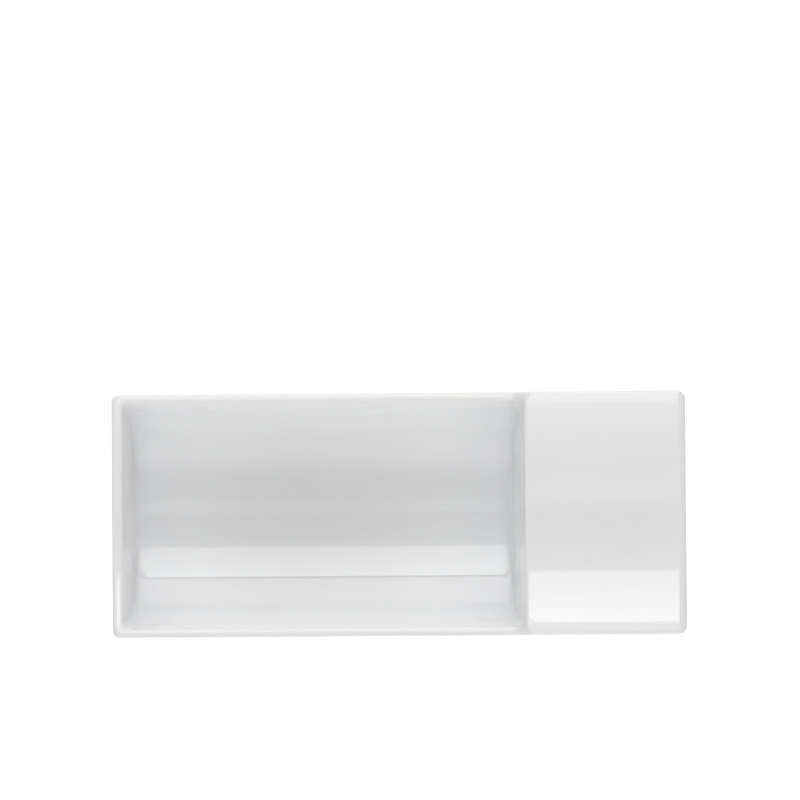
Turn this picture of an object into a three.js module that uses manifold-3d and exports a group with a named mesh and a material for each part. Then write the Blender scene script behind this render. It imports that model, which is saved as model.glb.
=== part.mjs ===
// Appetizer dish of glazed white porcelain: a long trough with a raised ledge
// at its right end, standing on a low rectangular foot ring.
// Millimetres. The origin lies on the table under the middle of the dish,
// +X points to the ledge, +Y to the back and +Z up.

import * as THREE from 'three';
import { LoftGeometry } from 'three/addons/geometries/LoftGeometry.js';
import { mergeVertices } from 'three/addons/utils/BufferGeometryUtils.js';
import Module from 'manifold-3d';

const wasm = await Module();
wasm.setup();

const DEGREE = Math.PI / 180;

// Whole dish
const LENGTH = 165;
const WIDTH = 70;
const RIM_TOP = 32.5;
const LEDGE_TOP = 37.1;

// Trough, outside
const TROUGH_LENGTH = 122.2;
const TROUGH_BOTTOM = 4.2;
const OUTER_LEAN = 6.5 * DEGREE;
const END_STRAIGHT_ABOVE = 27;
const BELLY_RADIUS = 16.3;
const END_BOTTOM_RADIUS = 3.8;
const LEFT_CORNER_RADIUS = 2;
const RIGHT_CORNER_RADIUS = 3;
const LEDGE_CORNER_RADIUS = 0.6;

// Trough, inside
const FLOOR_THICKNESS = 2.8;
const LEFT_RIM_WIDTH = 3.1;
const RIGHT_WALL_WIDTH = 2.4;
const INNER_LEAN = 7.5 * DEGREE;
const FLOOR_SIDE_RADIUS = 12.2;
const FLOOR_END_RADIUS = 1;
const INNER_CORNER_RADIUS = 2;

// Rim edges, and the sweep of the rim up to the ledge
const OUTER_EDGE_RADIUS = 1.3;
const RIM_FLAT = 0.2;
const INNER_EDGE_RADIUS = 1;
const SWEEP_START_FROM_SEAM = 6.1;
const SWEEP_LENGTH = 5.8;
const SWEEP_FOOT_HEIGHT = 18.7;

// Ledge
const SEAM_FROM_LEFT_END = 121.1;
const LEDGE_THICKNESS = 18;
const LEDGE_SIDE_INSET = 0.4;
const LEDGE_BELLY_RADIUS = 9.5;
const LEDGE_END_RADIUS = 2.4;
const LEDGE_END_BOTTOM_RADIUS = 1;
const LEDGE_END_LEAN = 0.5;
const LEDGE_FILLET = 3.5;
const LEDGE_WALL = 3;
const VENT_DIAMETER = 6;
const VENT_FROM_SEAM = 10;

// Foot ring
const FOOT_LENGTH = 96.5;
const FOOT_LEAN = 27 * DEGREE;
const FOOT_SHOULDER_HEIGHT = 7.5;
const FOOT_SHOULDER_BLEND = 2;
const FOOT_RING_WIDTH = 4;
const FOOT_INNER_LEAN = 12 * DEGREE;
const FOOT_CORNER_RADIUS = 3;
const FOOT_EDGE_RADIUS = 0.8;

// Positions worked out from the sizes
const LEFT_X = -LENGTH / 2;
const RIGHT_X = LENGTH / 2;
const TROUGH_X = LEFT_X + TROUGH_LENGTH / 2;
const SEAM_X = LEFT_X + SEAM_FROM_LEFT_END;
const LONG_RIM_WIDTH = OUTER_EDGE_RADIUS + RIM_FLAT + INNER_EDGE_RADIUS;
const FLOOR_TOP = TROUGH_BOTTOM + FLOOR_THICKNESS;
const LEDGE_BOTTOM = LEDGE_TOP - LEDGE_THICKNESS;
const SEAM_BOTTOM = LEDGE_BOTTOM - LEDGE_FILLET;
const SWEEP_START_X = SEAM_X - SWEEP_START_FROM_SEAM;
const FOOT_TOP_HALF_LENGTH = FOOT_LENGTH / 2 + TROUGH_BOTTOM * Math.tan(FOOT_LEAN);

const CORNER_STEPS = 4;
const STATION_SPACING = 0.4;

// A closed mesh as a solid, and a solid as a geometry
function solidFrom(geometry) {
  const bare = new THREE.BufferGeometry();
  bare.setAttribute('position', geometry.getAttribute('position'));
  bare.setIndex(geometry.getIndex());
  const merged = mergeVertices(bare, 1e-4);
  const corners = merged.index.array;
  const kept = [];
  for (let i = 0; i < corners.length; i += 3) {
    const [a, b, c] = corners.slice(i, i + 3);
    if (a !== b && b !== c && c !== a) kept.push(a, b, c);
  }
  const mesh = new wasm.Mesh({
    numProp: 3,
    vertProperties: merged.attributes.position.array,
    triVerts: new Uint32Array(kept),
  });
  return new wasm.Manifold(mesh);
}

function geometryFrom(solid) {
  const mesh = solid.getMesh();
  const geometry = new THREE.BufferGeometry();
  geometry.setAttribute('position', new THREE.BufferAttribute(mesh.vertProperties, 3));
  geometry.setIndex(new THREE.BufferAttribute(mesh.triVerts, 1));
  const flat = geometry.toNonIndexed();
  flat.computeVertexNormals();
  return flat;
}

// Half-extent, at a height over a flat base, of a wall that has its full reach
// at height `top`, leans in below it, and turns into the base through an arc
function wallReach(height, top, reach, lean, radius) {
  const tangentHeight = radius * (1 - Math.sin(lean));
  const planeHeight = Math.max(height, tangentHeight);
  const plane = reach - Math.max(top - planeHeight, 0) * Math.tan(lean);
  if (height >= tangentHeight) return plane;
  const centre = plane - radius * Math.cos(lean);
  return centre + Math.sqrt(radius ** 2 - (radius - height) ** 2);
}

// Heights up an arc of a given radius, closer together where it lies flat
function arcHeights(radius, lean, steps) {
  const sweep = Math.PI / 2 - lean;
  return Array.from({ length: steps + 1 }, (_, k) => radius * (1 - Math.cos((sweep * k) / steps)));
}

// Outline of a horizontal slice, counterclockwise from above: two straight
// long sides with stations along them, and four rounded corners
function sliceOutline({ left, right, half, leftRadius, rightRadius, stations = [] }) {
  const points = [];
  const corner = (x, y, radius, startQuarter) => {
    for (let k = 0; k <= CORNER_STEPS; k += 1) {
      const angle = (startQuarter + k / CORNER_STEPS) * (Math.PI / 2);
      points.push([x + radius * Math.cos(angle), y + radius * Math.sin(angle)]);
    }
  };
  const count = stations.length;
  const first = left + leftRadius;
  const last = right - rightRadius;
  const along = stations.map((x, k) =>
    Math.max(
      first + STATION_SPACING * (k + 1),
      Math.min(x, last - STATION_SPACING * (count - k)),
    ),
  );
  corner(last, half - rightRadius, rightRadius, 0);
  [...along].reverse().forEach((x) => points.push([x, half]));
  corner(first, half - leftRadius, leftRadius, 1);
  corner(first, leftRadius - half, leftRadius, 2);
  along.forEach((x) => points.push([x, -half]));
  corner(last, rightRadius - half, rightRadius, 3);
  return points;
}

// How far, from 0 to 1, the rim has swept up to the ledge at a point
function sweepShare(x, y, half) {
  const travelled = x - SWEEP_START_X + Math.max(half - Math.abs(y), 0);
  return THREE.MathUtils.smoothstep(travelled, 0, SWEEP_LENGTH);
}

// Half-width of the trough at height z with its wall carried down to the foot
function footShoulder(z) {
  const shoulder = wallReach(
    FOOT_SHOULDER_HEIGHT - TROUGH_BOTTOM,
    RIM_TOP - OUTER_EDGE_RADIUS - TROUGH_BOTTOM,
    WIDTH / 2,
    OUTER_LEAN,
    BELLY_RADIUS,
  );
  return shoulder - (FOOT_SHOULDER_HEIGHT - z) * Math.tan(FOOT_LEAN);
}

const troughStations = [
  TROUGH_X - FOOT_TOP_HALF_LENGTH - FOOT_SHOULDER_BLEND,
  TROUGH_X - FOOT_TOP_HALF_LENGTH + FOOT_SHOULDER_BLEND,
  TROUGH_X + FOOT_TOP_HALF_LENGTH - FOOT_SHOULDER_BLEND,
  TROUGH_X + FOOT_TOP_HALF_LENGTH + FOOT_SHOULDER_BLEND,
  ...[0, 1, 2, 3, 4].map((k) => SWEEP_START_X + (SWEEP_LENGTH * k) / 5),
];

// One slice of the trough in 3-D: the rim part rises towards the ledge, and
// low on the outside the long walls run out over the foot ring
function troughSlice(outline, z, carriesFoot = false) {
  const rise = THREE.MathUtils.clamp(
    (z - SWEEP_FOOT_HEIGHT) / (RIM_TOP - OUTER_EDGE_RADIUS - SWEEP_FOOT_HEIGHT),
    0,
    1,
  );
  return sliceOutline({ ...outline, stations: troughStations }).map(([x, y]) => {
    const lift = rise * (LEDGE_TOP - RIM_TOP) * sweepShare(x, y, outline.half);
    let acrossShare = 1;
    if (carriesFoot && z < FOOT_SHOULDER_HEIGHT) {
      const overFoot = Math.abs(x - TROUGH_X) < FOOT_TOP_HALF_LENGTH;
      if (overFoot) acrossShare = Math.max(footShoulder(z) / outline.half, 1);
    }
    return new THREE.Vector3(x, y * acrossShare, z + lift);
  });
}

// Outside of the trough at height z
function outerOutline(z) {
  const height = z - TROUGH_BOTTOM;
  const half = wallReach(
    height,
    RIM_TOP - OUTER_EDGE_RADIUS - TROUGH_BOTTOM,
    WIDTH / 2,
    OUTER_LEAN,
    BELLY_RADIUS,
  );
  const reach = wallReach(
    height,
    END_STRAIGHT_ABOVE - TROUGH_BOTTOM,
    TROUGH_LENGTH / 2,
    OUTER_LEAN,
    END_BOTTOM_RADIUS,
  );
  const onSeam = z >= SEAM_BOTTOM;
  return {
    left: TROUGH_X - reach,
    right: onSeam ? SEAM_X : Math.min(TROUGH_X + reach, SEAM_X),
    half,
    leftRadius: LEFT_CORNER_RADIUS,
    rightRadius: onSeam ? LEDGE_CORNER_RADIUS : RIGHT_CORNER_RADIUS,
  };
}

// Inside of the trough at height z, widened by `flare` at the rounded rim edge
function innerOutline(z, flare = 0) {
  const height = z - FLOOR_TOP;
  const edge = RIM_TOP - INNER_EDGE_RADIUS - FLOOR_TOP;
  const middle = (LEFT_X + LEFT_RIM_WIDTH + SEAM_X - RIGHT_WALL_WIDTH) / 2;
  const reach = wallReach(
    height,
    edge,
    SEAM_X - RIGHT_WALL_WIDTH - middle,
    INNER_LEAN,
    FLOOR_END_RADIUS,
  );
  const half = wallReach(
    height,
    edge,
    WIDTH / 2 - LONG_RIM_WIDTH,
    INNER_LEAN,
    FLOOR_SIDE_RADIUS,
  );
  return {
    left: middle - reach - flare,
    right: middle + reach + flare,
    half: half + flare,
    leftRadius: INNER_CORNER_RADIUS,
    rightRadius: INNER_CORNER_RADIUS,
  };
}

function makeTrough() {
  const slices = [];
  const outerHeights = [
    ...arcHeights(BELLY_RADIUS, OUTER_LEAN, 8).map((height) => TROUGH_BOTTOM + height),
    FOOT_SHOULDER_HEIGHT,
    SEAM_BOTTOM,
    END_STRAIGHT_ABOVE,
    RIM_TOP - OUTER_EDGE_RADIUS,
  ].sort((a, b) => a - b);
  outerHeights.forEach((z) => slices.push(troughSlice(outerOutline(z), z, true)));

  const edgeSteps = 3;
  for (let k = 1; k <= edgeSteps; k += 1) {
    const angle = (k / edgeSteps) * (Math.PI / 2);
    const inset = OUTER_EDGE_RADIUS * (1 - Math.cos(angle));
    const outline = outerOutline(RIM_TOP - OUTER_EDGE_RADIUS);
    outline.left += inset;
    outline.half -= inset;
    const z = RIM_TOP - OUTER_EDGE_RADIUS * (1 - Math.sin(angle));
    slices.push(troughSlice(outline, z));
  }

  const innerEdgeZ = RIM_TOP - INNER_EDGE_RADIUS;
  for (let k = 0; k <= edgeSteps; k += 1) {
    const angle = (k / edgeSteps) * (Math.PI / 2);
    const flare = INNER_EDGE_RADIUS * (1 - Math.sin(angle));
    const z = innerEdgeZ + INNER_EDGE_RADIUS * Math.cos(angle);
    slices.push(troughSlice(innerOutline(innerEdgeZ, flare), z));
  }

  const innerHeights = [
    ...arcHeights(FLOOR_SIDE_RADIUS, INNER_LEAN, 8).map((height) => FLOOR_TOP + height),
    SWEEP_FOOT_HEIGHT,
  ].sort((a, b) => b - a);
  innerHeights.forEach((z) => slices.push(troughSlice(innerOutline(z), z)));

  // The flat floor closes the loft from its edge to one point in the middle
  const middle = new THREE.Vector3(TROUGH_X, 0, FLOOR_TOP);
  slices.push(slices.at(-1).map(() => middle));
  return solidFrom(new LoftGeometry(slices, { capStart: true }));
}

// Upright section of the ledge at x: flat top with rounded edges, sides that
// lean in a little, and a belly that rounds under to a flat bottom
function ledgeSection({ x, half, top, bottom, inset, edge, bellyWidth, bellyHeight }) {
  const edgeSteps = 3;
  const bellySteps = 6;
  const back = [];
  for (let k = 0; k <= bellySteps; k += 1) {
    const angle = (k / bellySteps) * (Math.PI / 2);
    const y = half - inset - bellyWidth * (1 - Math.sin(angle));
    back.push([y, bottom + bellyHeight * (1 - Math.cos(angle))]);
  }
  for (let k = 0; k <= edgeSteps; k += 1) {
    const angle = (k / edgeSteps) * (Math.PI / 2);
    back.push([half - edge * (1 - Math.cos(angle)), top - edge * (1 - Math.sin(angle))]);
  }
  const front = [...back].reverse().map(([y, z]) => [-y, z]);
  return [...back, ...front].map(([y, z]) => new THREE.Vector3(x, y, z));
}

function makeLedge() {
  const sections = [];
  const whole = {
    half: WIDTH / 2,
    top: LEDGE_TOP,
    bottom: LEDGE_BOTTOM,
    inset: LEDGE_SIDE_INSET,
    edge: OUTER_EDGE_RADIUS,
    bellyWidth: LEDGE_BELLY_RADIUS,
    bellyHeight: LEDGE_BELLY_RADIUS,
  };

  const filletSteps = 5;
  for (let k = 0; k <= filletSteps; k += 1) {
    const angle = (k / filletSteps) * (Math.PI / 2);
    const drop = LEDGE_FILLET * (1 - Math.sin(angle));
    sections.push(
      ledgeSection({
        ...whole,
        x: SEAM_X + LEDGE_FILLET * (1 - Math.cos(angle)),
        bottom: LEDGE_BOTTOM - drop,
        bellyHeight: LEDGE_BELLY_RADIUS + drop,
      }),
    );
  }

  const endSteps = 4;
  for (let k = 0; k <= endSteps; k += 1) {
    const angle = (k / endSteps) * (Math.PI / 2);
    const inset = LEDGE_END_RADIUS * (1 - Math.cos(angle));
    const share = inset / LEDGE_END_RADIUS;
    sections.push(
      ledgeSection({
        ...whole,
        x: RIGHT_X - LEDGE_END_RADIUS * (1 - Math.sin(angle)),
        half: WIDTH / 2 - inset,
        top: LEDGE_TOP - inset,
        bottom: LEDGE_BOTTOM + LEDGE_END_BOTTOM_RADIUS * share,
      }),
    );
  }
  // The end face leans in a little towards its lower edge
  const leanFrom = LEDGE_TOP - LEDGE_END_RADIUS;
  sections.slice(-endSteps).forEach((section) =>
    section.forEach((point) => {
      const down = Math.max(leanFrom - point.z, 0) / (leanFrom - LEDGE_BOTTOM);
      point.x -= LEDGE_END_LEAN * down;
    }),
  );
  const outside = solidFrom(new LoftGeometry(sections, { capStart: true, capEnd: true }));

  const hollow = {
    half: WIDTH / 2 - LEDGE_WALL,
    top: LEDGE_TOP - LEDGE_WALL,
    bottom: LEDGE_BOTTOM + LEDGE_WALL,
    inset: LEDGE_SIDE_INSET,
    edge: OUTER_EDGE_RADIUS,
    bellyWidth: LEDGE_BELLY_RADIUS - LEDGE_WALL,
    bellyHeight: LEDGE_BELLY_RADIUS - LEDGE_WALL,
  };
  const hollowEnds = [SEAM_X - 1, RIGHT_X - LEDGE_WALL - LEDGE_END_LEAN];
  const inside = solidFrom(
    new LoftGeometry(
      hollowEnds.map((x) => ledgeSection({ ...hollow, x })),
      { capStart: true, capEnd: true },
    ),
  );

  const vent = new THREE.CylinderGeometry(
    VENT_DIAMETER / 2,
    VENT_DIAMETER / 2,
    3 * LEDGE_WALL,
    24,
  );
  vent.rotateX(Math.PI / 2);
  vent.translate(SEAM_X + VENT_FROM_SEAM, 0, LEDGE_BOTTOM + LEDGE_WALL / 2);
  return outside.subtract(inside).subtract(solidFrom(vent));
}

function makeFootRing() {
  const foot = (z, inset) => {
    const reach = FOOT_LENGTH / 2 + z * Math.tan(FOOT_LEAN) - inset;
    return {
      left: TROUGH_X - reach,
      right: TROUGH_X + reach,
      half: footShoulder(z) - inset,
      leftRadius: FOOT_CORNER_RADIUS,
      rightRadius: FOOT_CORNER_RADIUS,
    };
  };
  const slice = (z, inset) =>
    sliceOutline(foot(z, inset)).map(([x, y]) => new THREE.Vector3(x, y, z));
  const innerInset = (z) => FOOT_RING_WIDTH + z * (Math.tan(FOOT_LEAN) + Math.tan(FOOT_INNER_LEAN));
  const slices = [
    slice(TROUGH_BOTTOM, innerInset(TROUGH_BOTTOM)),
    slice(FOOT_EDGE_RADIUS, innerInset(FOOT_EDGE_RADIUS)),
    slice(0, innerInset(0) - FOOT_EDGE_RADIUS),
    slice(0, FOOT_EDGE_RADIUS),
    slice(FOOT_EDGE_RADIUS, 0),
    slice(TROUGH_BOTTOM, 0),
    slice(TROUGH_BOTTOM, innerInset(TROUGH_BOTTOM)),
  ];
  return solidFrom(new LoftGeometry(slices));
}

function addPiece(group, name, solid, color, roughness) {
  const material = new THREE.MeshStandardMaterial({ color, roughness, metalness: 0 });
  material.name = name;
  const mesh = new THREE.Mesh(geometryFrom(solid), material);
  mesh.name = name;
  group.add(mesh);
}

const dish = new THREE.Group();
addPiece(dish, 'trough', makeTrough(), '#f0f1f1', 0.12);
addPiece(dish, 'ledge', makeLedge(), '#f0f1f1', 0.12);
addPiece(dish, 'foot_ring', makeFootRing(), '#e8e8e4', 0.3);

export default dish;
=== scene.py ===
"""A long white porcelain appetizer dish: a trough, a raised ledge at its right end, and a low foot ring."""

import math

import bpy
import numpy as np
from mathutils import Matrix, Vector


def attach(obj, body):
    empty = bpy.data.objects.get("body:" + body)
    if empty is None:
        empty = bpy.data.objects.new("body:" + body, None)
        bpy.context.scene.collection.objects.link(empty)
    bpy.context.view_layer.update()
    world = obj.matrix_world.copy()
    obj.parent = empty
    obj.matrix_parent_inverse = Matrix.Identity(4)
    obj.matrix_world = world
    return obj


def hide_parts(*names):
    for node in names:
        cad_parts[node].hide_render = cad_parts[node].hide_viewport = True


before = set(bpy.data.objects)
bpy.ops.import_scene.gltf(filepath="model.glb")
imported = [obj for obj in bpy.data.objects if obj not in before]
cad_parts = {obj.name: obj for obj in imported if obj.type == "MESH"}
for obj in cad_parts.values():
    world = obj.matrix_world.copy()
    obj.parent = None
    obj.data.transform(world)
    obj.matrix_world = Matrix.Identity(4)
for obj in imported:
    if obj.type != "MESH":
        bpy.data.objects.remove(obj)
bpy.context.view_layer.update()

# Trough. The dish itself: a level floor between leaning walls that round under, with a rounded rim that
# sweeps up to the ledge. White hard porcelain, cast in a mould and dipped in clear glaze. Its wall is the
# same thickness all round, and its right end wall closes the hollow ledge.
MM = 0.001
LENGTH, WIDTH, RIM_TOP, LEDGE_TOP = 165.0, 70.0, 32.5, 37.1
BODY_LENGTH, BODY_BOTTOM = 122.2, 4.2
OUTER_LEAN, INNER_LEAN = math.radians(6.5), math.radians(7.5)
END_STRAIGHT_ABOVE, BELLY_RADIUS, END_BOTTOM_RADIUS = 27.0, 16.3, 3.8
LEFT_CORNER, RIGHT_CORNER, INNER_LEFT_CORNER, INNER_RIGHT_CORNER = 2.0, 3.0, 2.6, 1.8
FLOOR_TOP, FLOOR_SIDE_RADIUS, FLOOR_END_RADIUS = 7.0, 13.6, 1.0
FLOOR_CROWN, CROWN_FADE, LEFT_FLOOR_REACH = 0.065, 0.3, 0.7
LEFT_RIM_WIDTH, LONG_RIM_WIDTH, RIGHT_WALL = 3.1, 2.5, 2.4
OUTER_EDGE, INNER_EDGE = 1.3, 1.0
SEAM_X = 121.1 - LENGTH / 2
SWEEP_START, SWEEP_LENGTH, SWEEP_FOOT = SEAM_X - 6.1, 5.8, 18.7
BODY_X = (BODY_LENGTH - LENGTH) / 2
FOOT_LENGTH, FOOT_LEAN, FOOT_CORNER = 96.5, math.radians(27), 3.0
FOOT_SHOULDER, FOOT_FILLET = 7.5, 1.5
LEDGE_BOTTOM, LEDGE_BELLY, LEDGE_INSET, LEDGE_FLARE = LEDGE_TOP - 18.0, 9.5, 0.4, 3.5
FLARE_FADE, FLARE_TURN, STEEPEST_SEAM = 1.3, math.radians(45), 30
GROOVE_DEPTH, GROOVE_HALF_WIDTH, GROOVE_FOOT, GROOVE_TOP = 0.75, 2.0, 20.0, LEDGE_TOP - 2.4
GROOVE_FOOT_FADE, GROOVE_TOP_FADE = 6.0, 4.0


def wall_reach(height, top, reach, lean, radius):
    """Half-extent at a height over a flat base of a leaning wall that turns into the base through an arc."""
    tangent = radius * (1 - math.sin(lean))
    plane = reach - max(top - max(height, tangent), 0) * math.tan(lean)
    if height >= tangent:
        return plane
    return plane - radius * math.cos(lean) + math.sqrt(max(radius**2 - (radius - height) ** 2, 0))


def smooth(t):
    """0 below 0, 1 above 1 and an even S between them."""
    t = np.clip(t, 0, 1)
    return t * t * (3 - 2 * t)


def body_half(z):
    """Half-width of the trough's outside at a height."""
    top = RIM_TOP - OUTER_EDGE - BODY_BOTTOM
    return wall_reach(z - BODY_BOTTOM, top, WIDTH / 2, OUTER_LEAN, BELLY_RADIUS)


def body_reach(z):
    """Half-length of the trough's outside at a height."""
    top = END_STRAIGHT_ABOVE - BODY_BOTTOM
    return wall_reach(z - BODY_BOTTOM, top, BODY_LENGTH / 2, OUTER_LEAN, END_BOTTOM_RADIUS)


def foot_half(z):
    """Half-width of the foot's leaning side at a height, up to where it runs out into the belly."""
    return body_half(FOOT_SHOULDER) - (FOOT_SHOULDER - min(z, FOOT_SHOULDER)) * math.tan(FOOT_LEAN)


def foot_reach(z):
    """Half-length of the foot at a height."""
    return FOOT_LENGTH / 2 + min(z, FOOT_SHOULDER) * math.tan(FOOT_LEAN)


# The seam is the upright curve where the ledge leaves the trough's end wall. The ledge flares out into the
# wall like a fillet, widest under its flat bottom and fading out up its sides.
UNDER_POINTS, BELLY_POINTS, SIDE_POINTS, EDGE_POINTS, TOP_POINTS = 13, 25, 11, 9, 15


def ledge_profile():
    """Half section of the ledge from the middle of its underside to the middle of its top:
    places, outward directions and the angle round the belly."""
    flat = WIDTH / 2 - LEDGE_INSET - LEDGE_BELLY
    side_foot, side_top = LEDGE_BOTTOM + LEDGE_BELLY, LEDGE_TOP - OUTER_EDGE
    upright = math.pi / 2
    met = [(y, LEDGE_BOTTOM, 0, -1, 0) for y in np.linspace(0, flat, UNDER_POINTS)[:-1]]
    for a in np.linspace(0, upright, BELLY_POINTS):
        s, c = math.sin(a), math.cos(a)
        met.append((flat + LEDGE_BELLY * s, side_foot - LEDGE_BELLY * c, s, -c, a))
    for t in np.linspace(0, 1, SIDE_POINTS)[1:]:
        met.append((WIDTH / 2 - LEDGE_INSET * (1 - t), side_foot + (side_top - side_foot) * t, 1, 0, upright))
    for a in np.linspace(0, upright, EDGE_POINTS)[1:]:
        s, c = math.sin(a), math.cos(a)
        met.append((WIDTH / 2 - OUTER_EDGE * (1 - c), LEDGE_TOP - OUTER_EDGE * (1 - s), c, s, upright))
    for y in np.linspace(WIDTH / 2 - OUTER_EDGE, 0, TOP_POINTS)[1:]:
        met.append((y, LEDGE_TOP, 0, 1, upright))
    met = np.array(met)
    return met[:, :2], met[:, 2:4], met[:, 4]


section, section_normal, belly_angle = ledge_profile()
flare_reach = LEDGE_FLARE * (1 - np.sin(belly_angle)) ** FLARE_FADE
flare_start = FLARE_TURN * np.sin(belly_angle) ** 2
seam = section + section_normal * flare_reach[:, None]
NOT_ZERO = 1e-3
flare_slope = (flare_reach / LEDGE_FLARE) * np.cos(flare_start) ** 2 / (
    (1 - np.sin(flare_start)) * np.maximum(np.sin(flare_start), NOT_ZERO)
)
rising = slice(UNDER_POINTS - 1, UNDER_POINTS + BELLY_POINTS + SIDE_POINTS - 2)
seam_z, seam_y = seam[rising, 1], seam[rising, 0]
seam_slope = np.clip(flare_slope / np.maximum(np.sin(belly_angle), NOT_ZERO), 0, STEEPEST_SEAM)[rising]
SEAM_FOOT = float(seam_z[0])


def groove(x, z):
    """Depth of the soft groove that the glaze leaves where the ledge's side joins the wall."""
    deep = GROOVE_DEPTH * smooth((z - GROOVE_FOOT) / GROOVE_FOOT_FADE)
    deep = deep * smooth((GROOVE_TOP - z) / GROOVE_TOP_FADE)
    across = (1 + np.cos(np.pi * (x - SEAM_X) / GROOVE_HALF_WIDTH)) / 2
    return deep * np.where(np.abs(x - SEAM_X) < GROOVE_HALF_WIDTH, across, 0)


def sweep_share(x, inward):
    """How much of the rise to the ledge the rim has made at x: 0 along the trough and 1 at the ledge."""
    return smooth((x - SWEEP_START + np.maximum(inward, 0)) / SWEEP_LENGTH)


def spread(path, count):
    """A polyline's points set out again at even steps along it."""
    path = np.array(path)
    run = np.concatenate([[0], np.cumsum(np.linalg.norm(np.diff(path, axis=0), axis=1))])
    at = np.linspace(0, run[-1], count)
    return np.stack([np.interp(at, run, path[:, k]) for k in range(2)], axis=1)


def arc(cx, cy, radius, start, end, count):
    """Points on an arc between two angles in degrees."""
    a = np.radians(np.linspace(start, end, count))
    return np.stack([cx + radius * np.cos(a), cy + radius * np.sin(a)], axis=1)


SEARCH_REACH, SEARCH_STEPS = 60.0, 44


def along_rays(origins, directions, z):
    """Where rays from inside the body meet its outline at height z: the long wall, or the foot under it,
    with a small fillet between the two."""

    def outside(x, y):
        wall = y - body_half(z)
        qx = np.abs(x - BODY_X) - foot_reach(z) + FOOT_CORNER
        qy = y - foot_half(z) + FOOT_CORNER
        past_corner = np.hypot(np.maximum(qx, 0), np.maximum(qy, 0))
        foot = past_corner + np.minimum(np.maximum(qx, qy), 0) - FOOT_CORNER
        fillet = np.maximum(FOOT_FILLET - np.abs(wall - foot), 0) ** 2 / (4 * FOOT_FILLET)
        return np.minimum(wall, foot) - fillet

    near, far = np.zeros(len(origins)), np.full(len(origins), SEARCH_REACH)
    for _ in range(SEARCH_STEPS):
        middle = (near + far) / 2
        p = origins + directions * middle[:, None]
        inside = outside(p[:, 0], p[:, 1]) < 0
        near, far = np.where(inside, middle, near), np.where(inside, far, middle)
    return origins + directions * near[:, None]


# Points along each stretch of the outline. A fan of rays looks for the outline round each end of the foot,
# and the seam pull sets how long the curve from the wall into the ledge keeps its first direction.
WALL_POINTS, CORNER_POINTS, FINE_POINTS = 14, 22, 40
LEFT_CORNER_POINTS, LEFT_WALL_POINTS = 13, 20
FAN, FAN_DEPTH, SIDE_FOOT_PAD = np.radians(np.linspace(90, 33, 17)), 4.0, 5.0
SEAM_PULL = 1.17


def outer_half(z, inset=0.0):
    """Half of the trough's outline at height z, from the middle of its right wall round the back to the
    middle of its left wall. The inset rounds the rim's outer edge."""
    half, reach = body_half(z) - inset, body_reach(z)
    left, right = BODY_X - reach + inset, min(BODY_X + reach, SEAM_X)
    start_x = SEAM_X - RIGHT_CORNER
    lifted = z + (LEDGE_TOP - RIM_TOP) * np.clip((z - SWEEP_FOOT) / (RIM_TOP - OUTER_EDGE - SWEEP_FOOT), 0, 1)
    if z < SEAM_FOOT:
        corner = arc(right - RIGHT_CORNER, half - RIGHT_CORNER, RIGHT_CORNER, 0, 90, FINE_POINTS)
        end = (right, min(half - RIGHT_CORNER - 1, seam_y[0]))
        path = np.concatenate([[end], corner])
    else:
        end_y = min(float(np.interp(lifted, seam_z, seam_y)) - inset, half + 1)
        if end_y < half - RIGHT_CORNER:
            corner = arc(start_x, half - RIGHT_CORNER, RIGHT_CORNER, 0, 90, FINE_POINTS)
            path = np.concatenate([[(SEAM_X, end_y)], corner])
        else:
            slope = math.atan(float(np.interp(lifted, seam_z, seam_slope)))
            p0, p1 = np.array([start_x, half]), np.array([SEAM_X, end_y])
            pull = SEAM_PULL * np.linalg.norm(p1 - p0)
            t = np.linspace(1, 0, FINE_POINTS)[:, None]
            m0, m1 = np.array([pull, 0]), pull * np.array([math.cos(slope), -math.sin(slope)])
            path = (
                (2 * t**3 - 3 * t**2 + 1) * p0
                + (t**3 - 2 * t**2 + t) * m0
                + (3 * t**2 - 2 * t**3) * p1
                + (t**3 - t**2) * m1
            )
    corner = spread(path, CORNER_POINTS)
    wall = np.linspace([corner[0, 0], 0], corner[0], WALL_POINTS)[:-1]

    depth = min(FAN_DEPTH, half - 1)
    pieces = []
    for sign in (1, -1):
        hub = np.array([BODY_X + sign * (foot_reach(z) - SIDE_FOOT_PAD), half - depth])
        rays = np.stack([sign * np.cos(FAN), np.sin(FAN)], axis=1) * np.array([FAN_DEPTH / depth, 1.0])
        if inset == 0:
            met = along_rays(np.tile(hub, (len(FAN), 1)), rays, z)
        else:
            met = np.stack([hub[0] + rays[:, 0] * depth / rays[:, 1], np.full(len(FAN), half)], axis=1)
        pieces.append(met[::-1] if sign == 1 else met)
    right_fan, left_fan = pieces
    bridge = np.linspace(corner[-1, 0], right_fan[0, 0], 7)[1:-1]
    middle = np.linspace(right_fan[-1, 0], left_fan[0, 0], 40)[1:-1]

    def straight(xs):
        if inset:
            return np.stack([xs, np.full(len(xs), half)], axis=1)
        return along_rays(np.stack([xs, np.zeros(len(xs))], axis=1), np.tile([0.0, 1.0], (len(xs), 1)), z)

    left_corner = arc(left + LEFT_CORNER, half - LEFT_CORNER, LEFT_CORNER, 90, 180, LEFT_CORNER_POINTS)
    gap = np.linspace(left_fan[-1, 0], left_corner[0, 0], 6)[1:-1]
    left_wall = np.linspace(left_corner[-1], [left, 0], LEFT_WALL_POINTS)[1:]
    long_side = [straight(bridge), right_fan, straight(middle), left_fan, straight(gap)]
    return np.concatenate([wall, corner, *long_side, left_corner, left_wall])


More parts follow.
